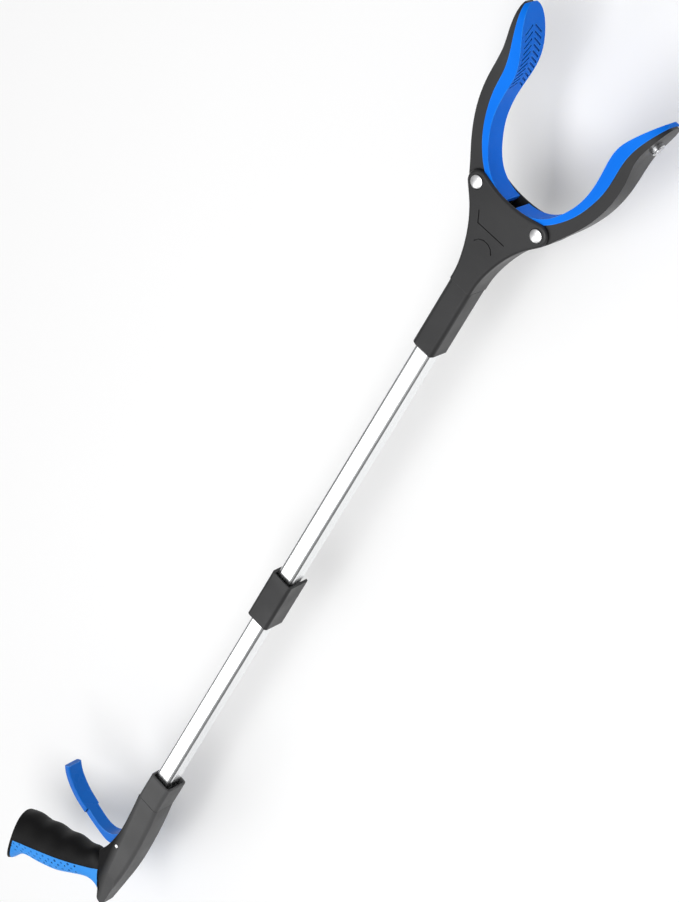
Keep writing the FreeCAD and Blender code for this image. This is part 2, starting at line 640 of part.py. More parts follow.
def make_pad():
    body = pad_blank().common(leaf(0, LEAF[-1][0]))
    shifted = [(x + 0.55, y) for x, y in INNER]
    zone = slab([curve(INNER), line(INNER[-1], shifted[-1]), curve(shifted), line(shifted[0], INNER[0])], -12, 12)
    ribs = []
    for k in range(11):
        y = 394.5 + 3.3 * k
        for side in (-1, 1):
            rib = Part.makeBox(60, 1.1, 8.2, V(20, 0, 1.0 if side > 0 else -9.2))
            rib.rotate(V(0, 0, 0), V(1, 0, 0), 32 * side)
            rib.translate(V(0, y, 0))
            ribs.append(rib)
    grooves = Part.makeCompound(ribs).common(zone).common(leaf(1.6, 436))
    return body.cut(grooves)


def make_drive_pin():
    px, py = drive_spot()
    return rod_z(px, py, DRIVE_PIN_R, -JAW_ROOT_HALF + 0.4, JAW_ROOT_HALF - 0.4)


def make_pull_block():
    px, py = drive_spot()
    far_x = RIVET_X - DRIVE_ARM * math.cos(math.radians(DRIVE_ANGLE + JAW_SWING))
    reach = DRIVE_PIN_R + SLOT_GAP
    half = far_x + reach + 1.6
    stem = box(-STEM_X, STEM_X, STEM_START, 319, -STEM_Z, STEM_Z)
    plate = polygon([(-STEM_X, 312), (STEM_X, 312), (half, py - 3.4), (half, py + 1.6), (half - 1.6, py + 2.9),
                     (px - 0.4, py + 2.9), (px - 3.6, py - 1.4), (-px + 3.6, py - 1.4), (-px + 0.4, py + 2.9),
                     (-half + 1.6, py + 2.9), (-half, py + 1.6), (-half, py - 3.4)], -PLATE_HALF, PLATE_HALF)
    body = union([stem, plate])
    for side in (-1, 1):
        a, b = sorted((side * px, side * far_x))
        slot = union([box(a, b, py - reach, py + reach, -5, 5), rod_z(a, py, reach, -5, 5), rod_z(b, py, reach, -5, 5)])
        body = body.cut(slot)
    body = body.cut(rod_y(0, 0, CABLE_BORE_R, STEM_START - 1, 340))
    return body.cut(rod_z(0, 314.0, FERRULE_R + FIT, -10, 10))


FERRULE_R = 1.8


def make_ferrule():
    body = rod_z(0, 314.0, FERRULE_R, -STEM_Z + 0.4, STEM_Z - 0.4)
    return body.cut(rod_y(0, 0, CABLE_R + 0.5, 300, 320))


def make_spring():
    start = SPRING_START + 1.4
    end = STEM_START - 0.35
    height = end - start - 2 * SPRING_WIRE
    helix = Part.makeHelix(height / SPRING_TURNS, height, SPRING_R)
    section = Part.Wire(Part.makeCircle(SPRING_WIRE, V(SPRING_R, 0, 0), V(0, 1, 0)))
    coil = Part.Wire(helix.Edges).makePipeShell([section], True, True)
    coil.rotate(V(0, 0, 0), V(1, 0, 0), -90)
    coil.translate(V(0, start + SPRING_WIRE, 0))
    return coil


def make_spring_seat():
    ring = rod_y(0, 0, 4.9, SPRING_START, SPRING_START + 1.0)
    return ring.cut(rod_y(0, 0, 1.6, SPRING_START - 1, SPRING_START + 2))


def make_magnet(arm):
    spot, out = magnet_frame()
    base = spot - out * MAGNET_SINK
    cup = Part.makeCylinder(MAGNET_CUP_R, MAGNET_CUP_HEIGHT, base, out)
    room = Part.makeCylinder(MAGNET_R + FIT, 10, base + out * 1.0, out)
    magnet = Part.makeCylinder(MAGNET_R, MAGNET_CUP_HEIGHT - 0.8, base + out * 1.0, out)
    seat = Part.makeCylinder(MAGNET_CUP_R + FIT, 10, base, out)
    rim = [e for e in cup.Edges if e.Length > 20 and (e.CenterOfMass - base).dot(out) > 1]
    cup = cup.makeChamfer(0.35, rim)
    return arm.cut(seat), cup.cut(room), magnet


def build():
    nodes = {}
    nodes["lower_tube"] = make_tube(LOWER_TUBE_END, WEB_START - 0.2)
    nodes["upper_tube"] = make_tube(UPPER_TUBE_START, UPPER_TUBE_END)
    nodes["fold_housing"] = make_housing()
    nodes["fold_pins"] = make_hinge_pins()
    nodes["fold_knuckle"] = make_knuckle()
    nodes["pull_cable_lower"] = make_lower_cable()
    nodes["pull_cable_upper"] = rod_y(0, 0, CABLE_R, FOOT_START + 0.4, 315)
    nodes["cable_roller"] = make_roller()
    nodes["cable_roller_pin"] = rod_z(ROLLER_GROOVE_R, ROLLER_Y, ROLLER_PIN_R, -7.0, 7.0)
    nodes["handle_shell_front"], nodes["handle_shell_back"] = make_handle()
    nodes["handle_screws"] = make_handle_screws()
    nodes["handle_collar"] = make_collar()
    nodes["grip_overmould"] = make_overmould()
    nodes["trigger"], nodes["cable_end_barrel"] = make_trigger()
    nodes["trigger_pin"] = make_trigger_pin()
    nodes["neck_sleeve"] = make_neck()
    nodes["yoke_shell_front"], nodes["yoke_shell_back"] = make_yoke()
    nodes["yoke_screws"] = make_yoke_screws()
    nodes["jaw_rivet_right"] = make_rivet(1)
    nodes["jaw_rivet_left"] = make_rivet(-1)
    arm = make_arm()
    pad = make_pad()
    pin = make_drive_pin()
    nodes["jaw_arm_left"] = mirrored(arm)
    nodes["jaw_pad_left"] = mirrored(pad)
    nodes["drive_pin_left"] = mirrored(pin)
    nodes["jaw_arm_right"], nodes["magnet_cup"], nodes["magnet"] = make_magnet(arm)
    nodes["jaw_pad_right"] = pad
    nodes["drive_pin_right"] = pin
    nodes["pull_block"] = make_pull_block()
    nodes["cable_ferrule"] = make_ferrule()
    nodes["return_spring"] = make_spring()
    nodes["spring_seat"] = make_spring_seat()
    return nodes


os.makedirs("parts", exist_ok=True)
for name, shape in build().items():
    shape.exportStep("parts/" + name + ".step")
    box_ = shape.BoundBox
    print(name, len(shape.Solids), shape.isValid(), round(shape.Volume), [round(v, 1) for v in (
        box_.XMin, box_.XMax, box_.YMin, box_.YMax, box_.ZMin, box_.ZMax)])
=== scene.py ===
# %% [markdown]
# # A folding reacher, finished in Blender
# A reacher is a long light tool for picking things up without bending. The CAD model gives every
# solid its exact shape and place, and its bodies already move. What is left for Blender is the
# look of each surface: satin moulded plastic, soft rubber, drawn aluminium, polished rivets and a
# stranded cable. The CAD pieces are kept as they are, because their shapes are right, and only
# get better materials. New pieces are made for the polished rivets, where a coarse solid would look
# wrong, for the return spring and for a short sleeve over the gap in the cable at the fold.

# %% Load the fixed frame
import math
import bpy
from mathutils import Matrix, Vector


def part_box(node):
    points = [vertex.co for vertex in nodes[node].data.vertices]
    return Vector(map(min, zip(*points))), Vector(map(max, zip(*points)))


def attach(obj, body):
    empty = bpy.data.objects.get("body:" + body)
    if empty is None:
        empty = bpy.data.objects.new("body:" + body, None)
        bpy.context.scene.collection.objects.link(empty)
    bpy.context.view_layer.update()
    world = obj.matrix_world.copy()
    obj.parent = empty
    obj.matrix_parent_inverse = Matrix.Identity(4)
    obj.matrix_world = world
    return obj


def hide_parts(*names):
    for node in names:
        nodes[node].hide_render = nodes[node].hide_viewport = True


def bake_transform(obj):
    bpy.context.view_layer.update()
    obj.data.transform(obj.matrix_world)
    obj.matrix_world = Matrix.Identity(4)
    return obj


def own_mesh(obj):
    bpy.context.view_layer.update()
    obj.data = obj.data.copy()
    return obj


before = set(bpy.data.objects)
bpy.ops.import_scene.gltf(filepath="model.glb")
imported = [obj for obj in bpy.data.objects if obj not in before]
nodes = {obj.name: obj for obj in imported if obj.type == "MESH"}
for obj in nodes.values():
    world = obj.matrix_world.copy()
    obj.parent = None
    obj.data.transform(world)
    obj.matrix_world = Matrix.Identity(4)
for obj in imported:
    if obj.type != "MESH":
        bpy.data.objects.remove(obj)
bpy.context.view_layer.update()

# %% [markdown]
# ## The camera
# The tool lies across the view on a slant, so the camera looks down at it from the jaw end and
# is rolled a long way round its own line of sight. Aiming with a target point and one roll angle is
# easier to read, and to change, than a matrix. A long lens keeps the shaft's sides almost parallel.

# %% Aim and roll the camera
CAMERA_PLACE = Vector((0.4559, 0.9942, 1.1113))
CAMERA_TARGET = Vector((-0.01535, 0.11840, 0.0))
CAMERA_ROLL = math.radians(113.26)
CAMERA_LENS = 95.35
SENSOR_HEIGHT = 36.0

camera_data = bpy.data.cameras.new("camera")
camera_data.sensor_fit = "VERTICAL"
camera_data.sensor_height = SENSOR_HEIGHT
camera_data.lens = CAMERA_LENS
camera = bpy.data.objects.new("camera", camera_data)
bpy.context.scene.collection.objects.link(camera)
look = (CAMERA_TARGET - CAMERA_PLACE).to_track_quat("-Z", "Y").to_matrix().to_4x4()
camera.matrix_world = Matrix.Translation(CAMERA_PLACE) @ look @ Matrix.Rotation(-CAMERA_ROLL, 4, "Z")
bpy.context.scene.camera = camera
print("camera distance", round((CAMERA_TARGET - CAMERA_PLACE).length, 3))

# %% [markdown]
# ## Floor and light
# Dark plastic only shows its shape when large pale areas are mirrored in it, so the studio is one
# broad soft lamp overhead, a second one beyond the handle that the shaft mirrors, and a pale sky
# that darkens towards the horizon. That darker band draws the dark line down the tube's edge.
# The plain colour view keeps the blue as strong as it is on the real rubber. When the tool folds,
# its head swings under the handle and ends 65 mm below the shaft, so the floor lies just below that.
# The floor is very wide, so that its edge stays out of sight when the tool is seen from low down.

# %% Floor
def new_material(name):
    material = bpy.data.materials.new(name)
    material.use_nodes = True
    tree = material.node_tree
    return material, tree, tree.nodes["Principled BSDF"]


bpy.ops.object.select_all(action="DESELECT")
FLOOR_HEIGHT = -0.067
FLOOR_SIZE = 40.0
bpy.ops.mesh.primitive_plane_add(size=FLOOR_SIZE, location=(0.0, 0.0, FLOOR_HEIGHT))
floor = bpy.context.object
floor.name = "floor"
bpy.ops.object.transform_apply(location=True, rotation=True, scale=True)

floor_material, tree, shader = new_material("pale floor")
coords = tree.nodes.new("ShaderNodeTexCoord")
noise = tree.nodes.new("ShaderNodeTexNoise")
noise.inputs["Scale"].default_value = 3.0
ramp = tree.nodes.new("ShaderNodeValToRGB")
ramp.color_ramp.elements[0].color = (0.93, 0.93, 0.93, 1)
ramp.color_ramp.elements[1].color = (0.95, 0.95, 0.95, 1)
tree.links.new(coords.outputs["Object"], noise.inputs["Vector"])
tree.links.new(noise.outputs["Fac"], ramp.inputs["Fac"])
tree.links.new(ramp.outputs["Color"], shader.inputs["Base Color"])
shader.inputs["Roughness"].default_value = 0.8
floor.data.materials.append(floor_material)
print("floor at", round(FLOOR_HEIGHT, 4))

# %% Lamps and sky
def soft_lamp(name, place, size_x, size_y, power):
    data = bpy.data.lights.new(name, "AREA")
    data.shape = "RECTANGLE"
    data.size = size_x
    data.size_y = size_y
    data.energy = power
    lamp = bpy.data.objects.new(name, data)
    bpy.context.scene.collection.objects.link(lamp)
    aim = (-Vector(place)).to_track_quat("-Z", "Y").to_matrix().to_4x4()
    lamp.matrix_world = Matrix.Translation(place) @ aim


soft_lamp("overhead lamp", (0.45, 0.25, 2.0), 1.5, 1.5, 36.0)
soft_lamp("shaft lamp", (-0.62, -1.40, 1.5), 0.55, 1.7, 7.0)

HORIZON = 0.06
OVERHEAD = 0.9
SKY_STRENGTH = 0.55
world = bpy.data.worlds.new("studio sky")
world.use_nodes = True
bpy.context.scene.world = world
tree = world.node_tree
background = tree.nodes["Background"]
coords = tree.nodes.new("ShaderNodeTexCoord")
split = tree.nodes.new("ShaderNodeSeparateXYZ")
ramp = tree.nodes.new("ShaderNodeValToRGB")
ramp.color_ramp.elements[0].position = HORIZON
ramp.color_ramp.elements[0].color = (0.03, 0.03, 0.032, 1)
ramp.color_ramp.elements[1].position = OVERHEAD
ramp.color_ramp.elements[1].color = (0.85, 0.85, 0.85, 1)
tree.links.new(coords.outputs["Generated"], split.inputs["Vector"])
tree.links.new(split.outputs["Z"], ramp.inputs["Fac"])
tree.links.new(ramp.outputs["Color"], background.inputs["Color"])
background.inputs["Strength"].default_value = SKY_STRENGTH
bpy.context.scene.view_settings.view_transform = "Standard"

# %% [markdown]
# ## Effects that several materials share
# Four small node groups are built once and placed in each material with its own numbers.
# *Moulded grain* is the fine spark-eroded texture of a mould, with a slow change in tone under it.
# *Edge wear and highlight* finds edges by comparing the true normal with one rounded over a small
# radius, and breaks that line up with noise, because edges never polish evenly; the paler colour the
# materials give these edges is partly wear and partly a painted highlight. *Groove shade* is painted
# shade: it finds narrow hollows, where light fails to reach, and the moulded materials paint them
# darker. *Handling marks* are thin stretched scratches and soft smudges, which mostly change how
# shiny the surface is.

# %% Moulded grain group
def new_group(name, inputs, outputs):
    group = bpy.data.node_groups.new(name, "ShaderNodeTree")
    for label, value in inputs:
        socket = group.interface.new_socket(name=label, in_out="INPUT", socket_type="NodeSocketFloat")
        socket.default_value = value
    for label in outputs:
        group.interface.new_socket(name=label, in_out="OUTPUT", socket_type="NodeSocketFloat")
    return group, group.nodes.new("NodeGroupInput"), group.nodes.new("NodeGroupOutput")


def add_math(tree, kind, a, b):
    node = tree.nodes.new("ShaderNodeMath")
    node.operation = kind
    for socket, value in zip(node.inputs, (a, b)):
        if isinstance(value, (int, float)):
            socket.default_value = value
        else:
            tree.links.new(value, socket)
    return node.outputs[0]


def add_range(tree, value, low, high, out_low, out_high):
    node = tree.nodes.new("ShaderNodeMapRange")
    tree.links.new(value, node.inputs["Value"])
    for label, number in (("From Min", low), ("From Max", high), ("To Min", out_low), ("To Max", out_high)):
        node.inputs[label].default_value = number
    return node.outputs["Result"]


def add_noise(tree, vector, scale, detail):
    node = tree.nodes.new("ShaderNodeTexNoise")
    node.inputs["Detail"].default_value = detail
    tree.links.new(vector, node.inputs["Vector"])
    if isinstance(scale, (int, float)):
        node.inputs["Scale"].default_value = scale
    else:
        tree.links.new(scale, node.inputs["Scale"])
    return node.outputs["Fac"]


grain, inside, outside = new_group("moulded grain", [("Scale", 1400.0)], ["Height", "Tone"])
coords = grain.nodes.new("ShaderNodeTexCoord").outputs["Object"]
fine = add_noise(grain, coords, inside.outputs["Scale"], 2.0)
cells = grain.nodes.new("ShaderNodeTexVoronoi")
grain.links.new(coords, cells.inputs["Vector"])
grain.links.new(inside.outputs["Scale"], cells.inputs["Scale"])
height = add_math(grain, "ADD", fine, cells.outputs["Distance"])
tone = add_noise(grain, coords, 24.0, 4.0)
grain.links.new(height, outside.inputs["Height"])
grain.links.new(tone, outside.inputs["Tone"])
print("group", grain.name)

# %% Edge wear and painted highlight group
edge_wear_and_highlight, inside, outside = new_group("edge wear and painted highlight", [("Radius", 0.0007), ("Amount", 1.0)], ["Mask"])
rounded = edge_wear_and_highlight.nodes.new("ShaderNodeBevel")
rounded.samples = 4
edge_wear_and_highlight.links.new(inside.outputs["Radius"], rounded.inputs["Radius"])
true_normal = edge_wear_and_highlight.nodes.new("ShaderNodeNewGeometry").outputs["Normal"]
compare = edge_wear_and_highlight.nodes.new("ShaderNodeVectorMath")
compare.operation = "DOT_PRODUCT"
edge_wear_and_highlight.links.new(rounded.outputs["Normal"], compare.inputs[0])
edge_wear_and_highlight.links.new(true_normal, compare.inputs[1])
# The mask marks edges that the materials paint paler, partly as wear and partly as a painted highlight.
edge = add_range(edge_wear_and_highlight, compare.outputs["Value"], 0.985, 0.86, 0.0, 1.0)
coords = edge_wear_and_highlight.nodes.new("ShaderNodeTexCoord").outputs["Object"]
broken = add_range(edge_wear_and_highlight, add_noise(edge_wear_and_highlight, coords, 190.0, 5.0), 0.36, 0.62, 0.15, 1.0)
mask = add_math(edge_wear_and_highlight, "MULTIPLY", add_math(edge_wear_and_highlight, "MULTIPLY", edge, broken), inside.outputs["Amount"])
edge_wear_and_highlight.links.new(mask, outside.inputs["Mask"])
print("group", edge_wear_and_highlight.name)

# %% Painted groove shade group
painted_hollow_shade, inside, outside = new_group("painted groove shade", [("Reach", 0.0015)], ["Mask"])
cover = painted_hollow_shade.nodes.new("ShaderNodeAmbientOcclusion")
cover.samples = 8
cover.only_local = True
painted_hollow_shade.links.new(inside.outputs["Reach"], cover.inputs["Distance"])
# Painted shade: hollows that ambient occlusion finds are masked, to be painted darker.
hollow_shade_mask = add_range(painted_hollow_shade, cover.outputs["AO"], 0.96, 0.55, 0.0, 1.0)
painted_hollow_shade.links.new(hollow_shade_mask, outside.inputs["Mask"])
print("group", painted_hollow_shade.name)

# %% Handling marks group
marks, inside, outside = new_group("handling marks", [("Amount", 1.0)], ["Scratches", "Smudges"])
coords = marks.nodes.new("ShaderNodeTexCoord").outputs["Object"]
stretch = marks.nodes.new("ShaderNodeMapping")
stretch.inputs["Rotation"].default_value = (0.3, 0.5, 0.7)
stretch.inputs["Scale"].default_value = (900.0, 26.0, 140.0)
marks.links.new(coords, stretch.inputs["Vector"])
lines = add_range(marks, add_noise(marks, stretch.outputs["Vector"], 1.0, 2.0), 0.70, 0.76, 0.0, 1.0)
patches = add_range(marks, add_noise(marks, coords, 30.0, 3.0), 0.50, 0.70, 0.0, 1.0)
scratches = add_math(marks, "MULTIPLY", add_math(marks, "MULTIPLY", lines, patches), inside.outputs["Amount"])
smudges = add_range(marks, add_noise(marks, coords, 55.0, 6.0), 0.38, 0.66, 0.0, 1.0)
marks.links.new(scratches, outside.inputs["Scratches"])
marks.links.new(smudges, outside.inputs["Smudges"])
print("group", marks.name)

# %% [markdown]
# ## Plastics and rubber
# The charcoal shells, the blue rubber and the blue trigger are all moulded, so one recipe serves:
# the tone group shifts between two close colours, edges move towards a paler colour, partly as wear
# and partly as a painted highlight, narrow hollows get painted shade, and the grain gives a bump a
# few hundredths of a millimetre deep. Only the numbers differ. Rubber is rougher with a coarser
# grain and a faint sheen. The palm rubber is painted paler than the jaw pads, as painted light where
# the light falls on it more strongly; the trigger is smoother and glossier.

# %% Moulded material recipe
def place_group(tree, group, **values):
    node = tree.nodes.new("ShaderNodeGroup")
    node.node_tree = group
    for label, value in values.items():
        node.inputs[label].default_value = value
    return node


def add_mix(tree, factor, a, b):
    node = tree.nodes.new("ShaderNodeMix")
    node.data_type = "RGBA"
    tree.links.new(factor, node.inputs["Factor"])
    for socket, value in ((node.inputs[6], a), (node.inputs[7], b)):
        if isinstance(value, tuple):
            socket.default_value = (*value, 1)
        else:
            tree.links.new(value, socket)
    return node.outputs[2]


def add_bump(tree, height, depth, strength):
    node = tree.nodes.new("ShaderNodeBump")
    node.inputs["Distance"].default_value = depth
    node.inputs["Strength"].default_value = strength
    tree.links.new(height, node.inputs["Height"])
    return node.outputs["Normal"]


def moulded(name, dark, light, worn_and_highlight_colour, rough, grain_scale, grain_depth, wear_and_highlight_radius, wear_and_highlight_amount, mirror,
            painted_shade_tone=0.22):
    material, tree, shader = new_material(name)
    texture = place_group(tree, grain, Scale=grain_scale)
    edges = place_group(tree, edge_wear_and_highlight, Radius=wear_and_highlight_radius, Amount=wear_and_highlight_amount)
    handled = place_group(tree, marks, Amount=0.5)
    tone = add_range(tree, texture.outputs["Tone"], 0.35, 0.65, 0.0, 1.0)
    colour = add_mix(tree, tone, dark, light)
    # Edges go paler, partly as wear and partly as a painted highlight.
    colour = add_mix(tree, edges.outputs["Mask"], colour, worn_and_highlight_colour)
    # Narrow hollows go darker: painted shade.
    groove_shade_node = place_group(tree, painted_hollow_shade, Reach=0.0016)
    painted_hollow_colour = tuple(painted_shade_tone * channel for channel in dark)
    colour = add_mix(tree, groove_shade_node.outputs["Mask"], colour, painted_hollow_colour)
    tree.links.new(colour, shader.inputs["Base Color"])
    shine = add_range(tree, handled.outputs["Smudges"], 0.0, 1.0, rough, rough - 0.09)
    shine = add_math(tree, "ADD", shine, add_math(tree, "MULTIPLY", handled.outputs["Scratches"], 0.12))
    tree.links.new(shine, shader.inputs["Roughness"])
    tree.links.new(add_bump(tree, texture.outputs["Height"], grain_depth, 0.6), shader.inputs["Normal"])
    shader.inputs["Specular IOR Level"].default_value = mirror
    return material, shader


print("recipe", moulded.__name__)

# %% Charcoal, satin and inner greys
charcoal, _ = moulded("charcoal plastic", (0.026, 0.026, 0.027), (0.034, 0.034, 0.035),
                      (0.085, 0.085, 0.088), 0.46, 1500.0, 0.00003, 0.0006, 0.7, 0.30)
handle_grey, _ = moulded("satin handle plastic", (0.074, 0.074, 0.075), (0.086, 0.086, 0.087),
                         (0.14, 0.14, 0.143), 0.50, 1100.0, 0.00004, 0.0006, 0.6, 0.20)
inner_grey, _ = moulded("inner grey plastic", (0.008, 0.008, 0.009), (0.013, 0.013, 0.014),
                        (0.05, 0.05, 0.05), 0.42, 1800.0, 0.00002, 0.0004, 0.4, 0.3)
print("greys", charcoal.name, handle_grey.name, inner_grey.name)

# %% Blue rubbers and the trigger
soft_blue, shader = moulded("soft blue rubber", (0.001, 0.165, 0.80), (0.002, 0.190, 0.88),
                            (0.045, 0.36, 1.0), 0.60, 1100.0, 0.00003, 0.0009, 0.8, 0.10, painted_shade_tone=0.45)
shader.inputs["Sheen Weight"].default_value = 0.02
shader.inputs["Sheen Roughness"].default_value = 0.4
# The palm rubber is a paler copy of the blue rubber: painted light where it is lit more strongly.
palm_blue_painted_lighter, shader = moulded("palm rubber painted lighter", (0.045, 0.300, 0.84), (0.060, 0.340, 0.92), (0.09, 0.42, 1.0),
                            0.60, 1100.0, 0.00003, 0.0009, 0.8, 0.10, painted_shade_tone=0.35)
shader.inputs["Sheen Weight"].default_value = 0.02
shader.inputs["Sheen Roughness"].default_value = 0.4
trigger_blue, shader = moulded("blue trigger plastic", (0.001, 0.122, 0.53), (0.002, 0.142, 0.60),
                               (0.08, 0.36, 1.0), 0.34, 2200.0, 0.000012, 0.0012, 1.0, 0.14)
print("blues", soft_blue.name, palm_blue_painted_lighter.name, trigger_blue.name)

# %% [markdown]
# ## A darker hand grip
# The shells are one moulding. The part the hand holds is painted darker than the smooth spine
# beside it, as painted shade where the grip turns away from the light, and it is made duller too.
# The change follows the shell itself: a mask runs across the handle from the spine to the grip, and
# only darkens the colour and roughens it.

# %% Paint shade on the held part
tree = handle_grey.node_tree
shader = tree.nodes["Principled BSDF"]
place = tree.nodes.new("ShaderNodeSeparateXYZ")
tree.links.new(tree.nodes.new("ShaderNodeTexCoord").outputs["Object"], place.inputs["Vector"])
across = add_math(tree, "ADD", place.outputs["X"], add_math(tree, "MULTIPLY", place.outputs["Y"], 0.0985))
grip_shade_and_dullness = add_range(tree, across, -0.0262, -0.0335, 0.0, 1.0)
plain_colour = shader.inputs["Base Color"].links[0].from_socket
plain_rough = shader.inputs["Roughness"].links[0].from_socket
# Painted shade: the colour goes towards near black across the grip.
tree.links.new(add_mix(tree, grip_shade_and_dullness, plain_colour, (0.0035, 0.0035, 0.0037)), shader.inputs["Base Color"])
duller = add_math(tree, "ADD", plain_rough, add_math(tree, "MULTIPLY", grip_shade_and_dullness, 0.10))
tree.links.new(duller, shader.inputs["Roughness"])
print("grip mask on", handle_grey.name)

# %% [markdown]
# ## Metals
# Drawn tube carries hair-fine lines along its length, left by the die, so its noise is stretched
# many times along the shaft. The lines change the roughness and give a shallow bump; a few broad
# bands change the tone. Rivet heads are pressed and lightly polished, so they shine softly and
# cloud over in patches. Zinc-plated steel is darker and mottled by its crystals.

# %% Drawn aluminium
def streaks(tree, across, along):
    coords = tree.nodes.new("ShaderNodeTexCoord").outputs["Object"]
    stretch = tree.nodes.new("ShaderNodeMapping")
    stretch.inputs["Scale"].default_value = (across, along, across)
    tree.links.new(coords, stretch.inputs["Vector"])
    return add_noise(tree, stretch.outputs["Vector"], 1.0, 3.0)


aluminium, tree, shader = new_material("drawn aluminium")
fine_lines = streaks(tree, 5200.0, 9.0)
broad_lines = streaks(tree, 620.0, 2.5)
handled = place_group(tree, marks, Amount=0.7)
edges = place_group(tree, edge_wear_and_highlight, Radius=0.0005, Amount=0.5)
bands = add_range(tree, broad_lines, 0.3, 0.7, 0.0, 1.0)
colour = add_mix(tree, bands, (0.80, 0.81, 0.82), (0.90, 0.91, 0.92))
# Edges go paler, partly as wear and partly as a painted highlight.
colour = add_mix(tree, edges.outputs["Mask"], colour, (0.95, 0.95, 0.95))
tree.links.new(colour, shader.inputs["Base Color"])
shine = add_range(tree, fine_lines, 0.3, 0.7, 0.20, 0.32)
shine = add_math(tree, "ADD", shine, add_math(tree, "MULTIPLY", handled.outputs["Scratches"], 0.15))
tree.links.new(shine, shader.inputs["Roughness"])
tree.links.new(add_bump(tree, fine_lines, 0.00001, 0.35), shader.inputs["Normal"])
shader.inputs["Metallic"].default_value = 1.0
print("material", aluminium.name)

# %% Polished and plated metals
def plated(name, dark, light, rough_low, rough_high, scale, depth):
    material, tree, shader = new_material(name)
    coords = tree.nodes.new("ShaderNodeTexCoord").outputs["Object"]
    crystals = tree.nodes.new("ShaderNodeTexVoronoi")
    crystals.inputs["Scale"].default_value = scale
    tree.links.new(coords, crystals.inputs["Vector"])
    cloudy = add_noise(tree, coords, scale * 0.4, 4.0)
    edges = place_group(tree, edge_wear_and_highlight, Radius=0.0003, Amount=0.6)
    colour = add_mix(tree, add_range(tree, cloudy, 0.35, 0.65, 0.0, 1.0), dark, light)
    # Edges go paler, partly as wear and partly as a painted highlight.
    colour = add_mix(tree, edges.outputs["Mask"], colour, (0.92, 0.92, 0.92))
    tree.links.new(colour, shader.inputs["Base Color"])
    tree.links.new(add_range(tree, cloudy, 0.3, 0.7, rough_low, rough_high), shader.inputs["Roughness"])
    tree.links.new(add_bump(tree, crystals.outputs["Distance"], depth, 0.4), shader.inputs["Normal"])
    shader.inputs["Metallic"].default_value = 1.0
    return material


rivet_metal = plated("polished rivet", (0.88, 0.88, 0.89), (0.95, 0.95, 0.96), 0.34, 0.44, 900.0, 0.000003)
zinc = plated("zinc plated steel", (0.50, 0.51, 0.53), (0.66, 0.67, 0.69), 0.24, 0.42, 1300.0, 0.00001)
nickel = plated("nickel plated magnet", (0.42, 0.42, 0.44), (0.55, 0.55, 0.57), 0.16, 0.30, 700.0, 0.000006)
print("metals", rivet_metal.name, zinc.name, nickel.name)

# %% [markdown]
# ## Stranded cable
# The pull cable is many fine wires twisted together. At this size the strands are a quarter of a
# millimetre wide, too fine to model along six hundred millimetres of tube, so a wave pattern
# running on a slant across the cable gives the twist as tone and bump.

# %% Cable material
cable_metal, tree, shader = new_material("stranded cable")
coords = tree.nodes.new("ShaderNodeTexCoord").outputs["Object"]
turn = tree.nodes.new("ShaderNodeMapping")
turn.inputs["Rotation"].default_value = (0.0, 0.0, math.radians(35.0))
tree.links.new(coords, turn.inputs["Vector"])
twist = tree.nodes.new("ShaderNodeTexWave")
twist.inputs["Scale"].default_value = 480.0
twist.inputs["Distortion"].default_value = 0.6
tree.links.new(turn.outputs["Vector"], twist.inputs["Vector"])
colour = add_mix(tree, twist.outputs["Fac"], (0.24, 0.24, 0.25), (0.62, 0.62, 0.63))
tree.links.new(colour, shader.inputs["Base Color"])
tree.links.new(add_range(tree, twist.outputs["Fac"], 0.0, 1.0, 0.5, 0.28), shader.inputs["Roughness"])
tree.links.new(add_bump(tree, twist.outputs["Fac"], 0.00008, 0.8), shader.inputs["Normal"])
shader.inputs["Metallic"].default_value = 1.0
print("material", cable_metal.name)

# %% [markdown]
# ## Rivets
# Each jaw turns on a rivet with a broad, low polished dome, and a polished dome shows every
# flat of a coarse mesh. So the two rivets are turned again here as a lathe would: half of the
# section is drawn as a chain of edges and spun round the rivet's axis. The dome is a shallow arc
# with a small round at its rim, the shank passes through the fork, and the far end is a plain
# set head. Heights and centre come from the CAD piece, so it fills the same space.

# %% Turn the rivets
DOME_STEPS = 12
DOME_SHARE = 0.93
DOME_DROP = 0.00062
RIM_DROP = 0.00085
HEAD_THICKNESS = 0.0019
SHANK_RADIUS = 0.0020
BACK_THICKNESS = 0.0009


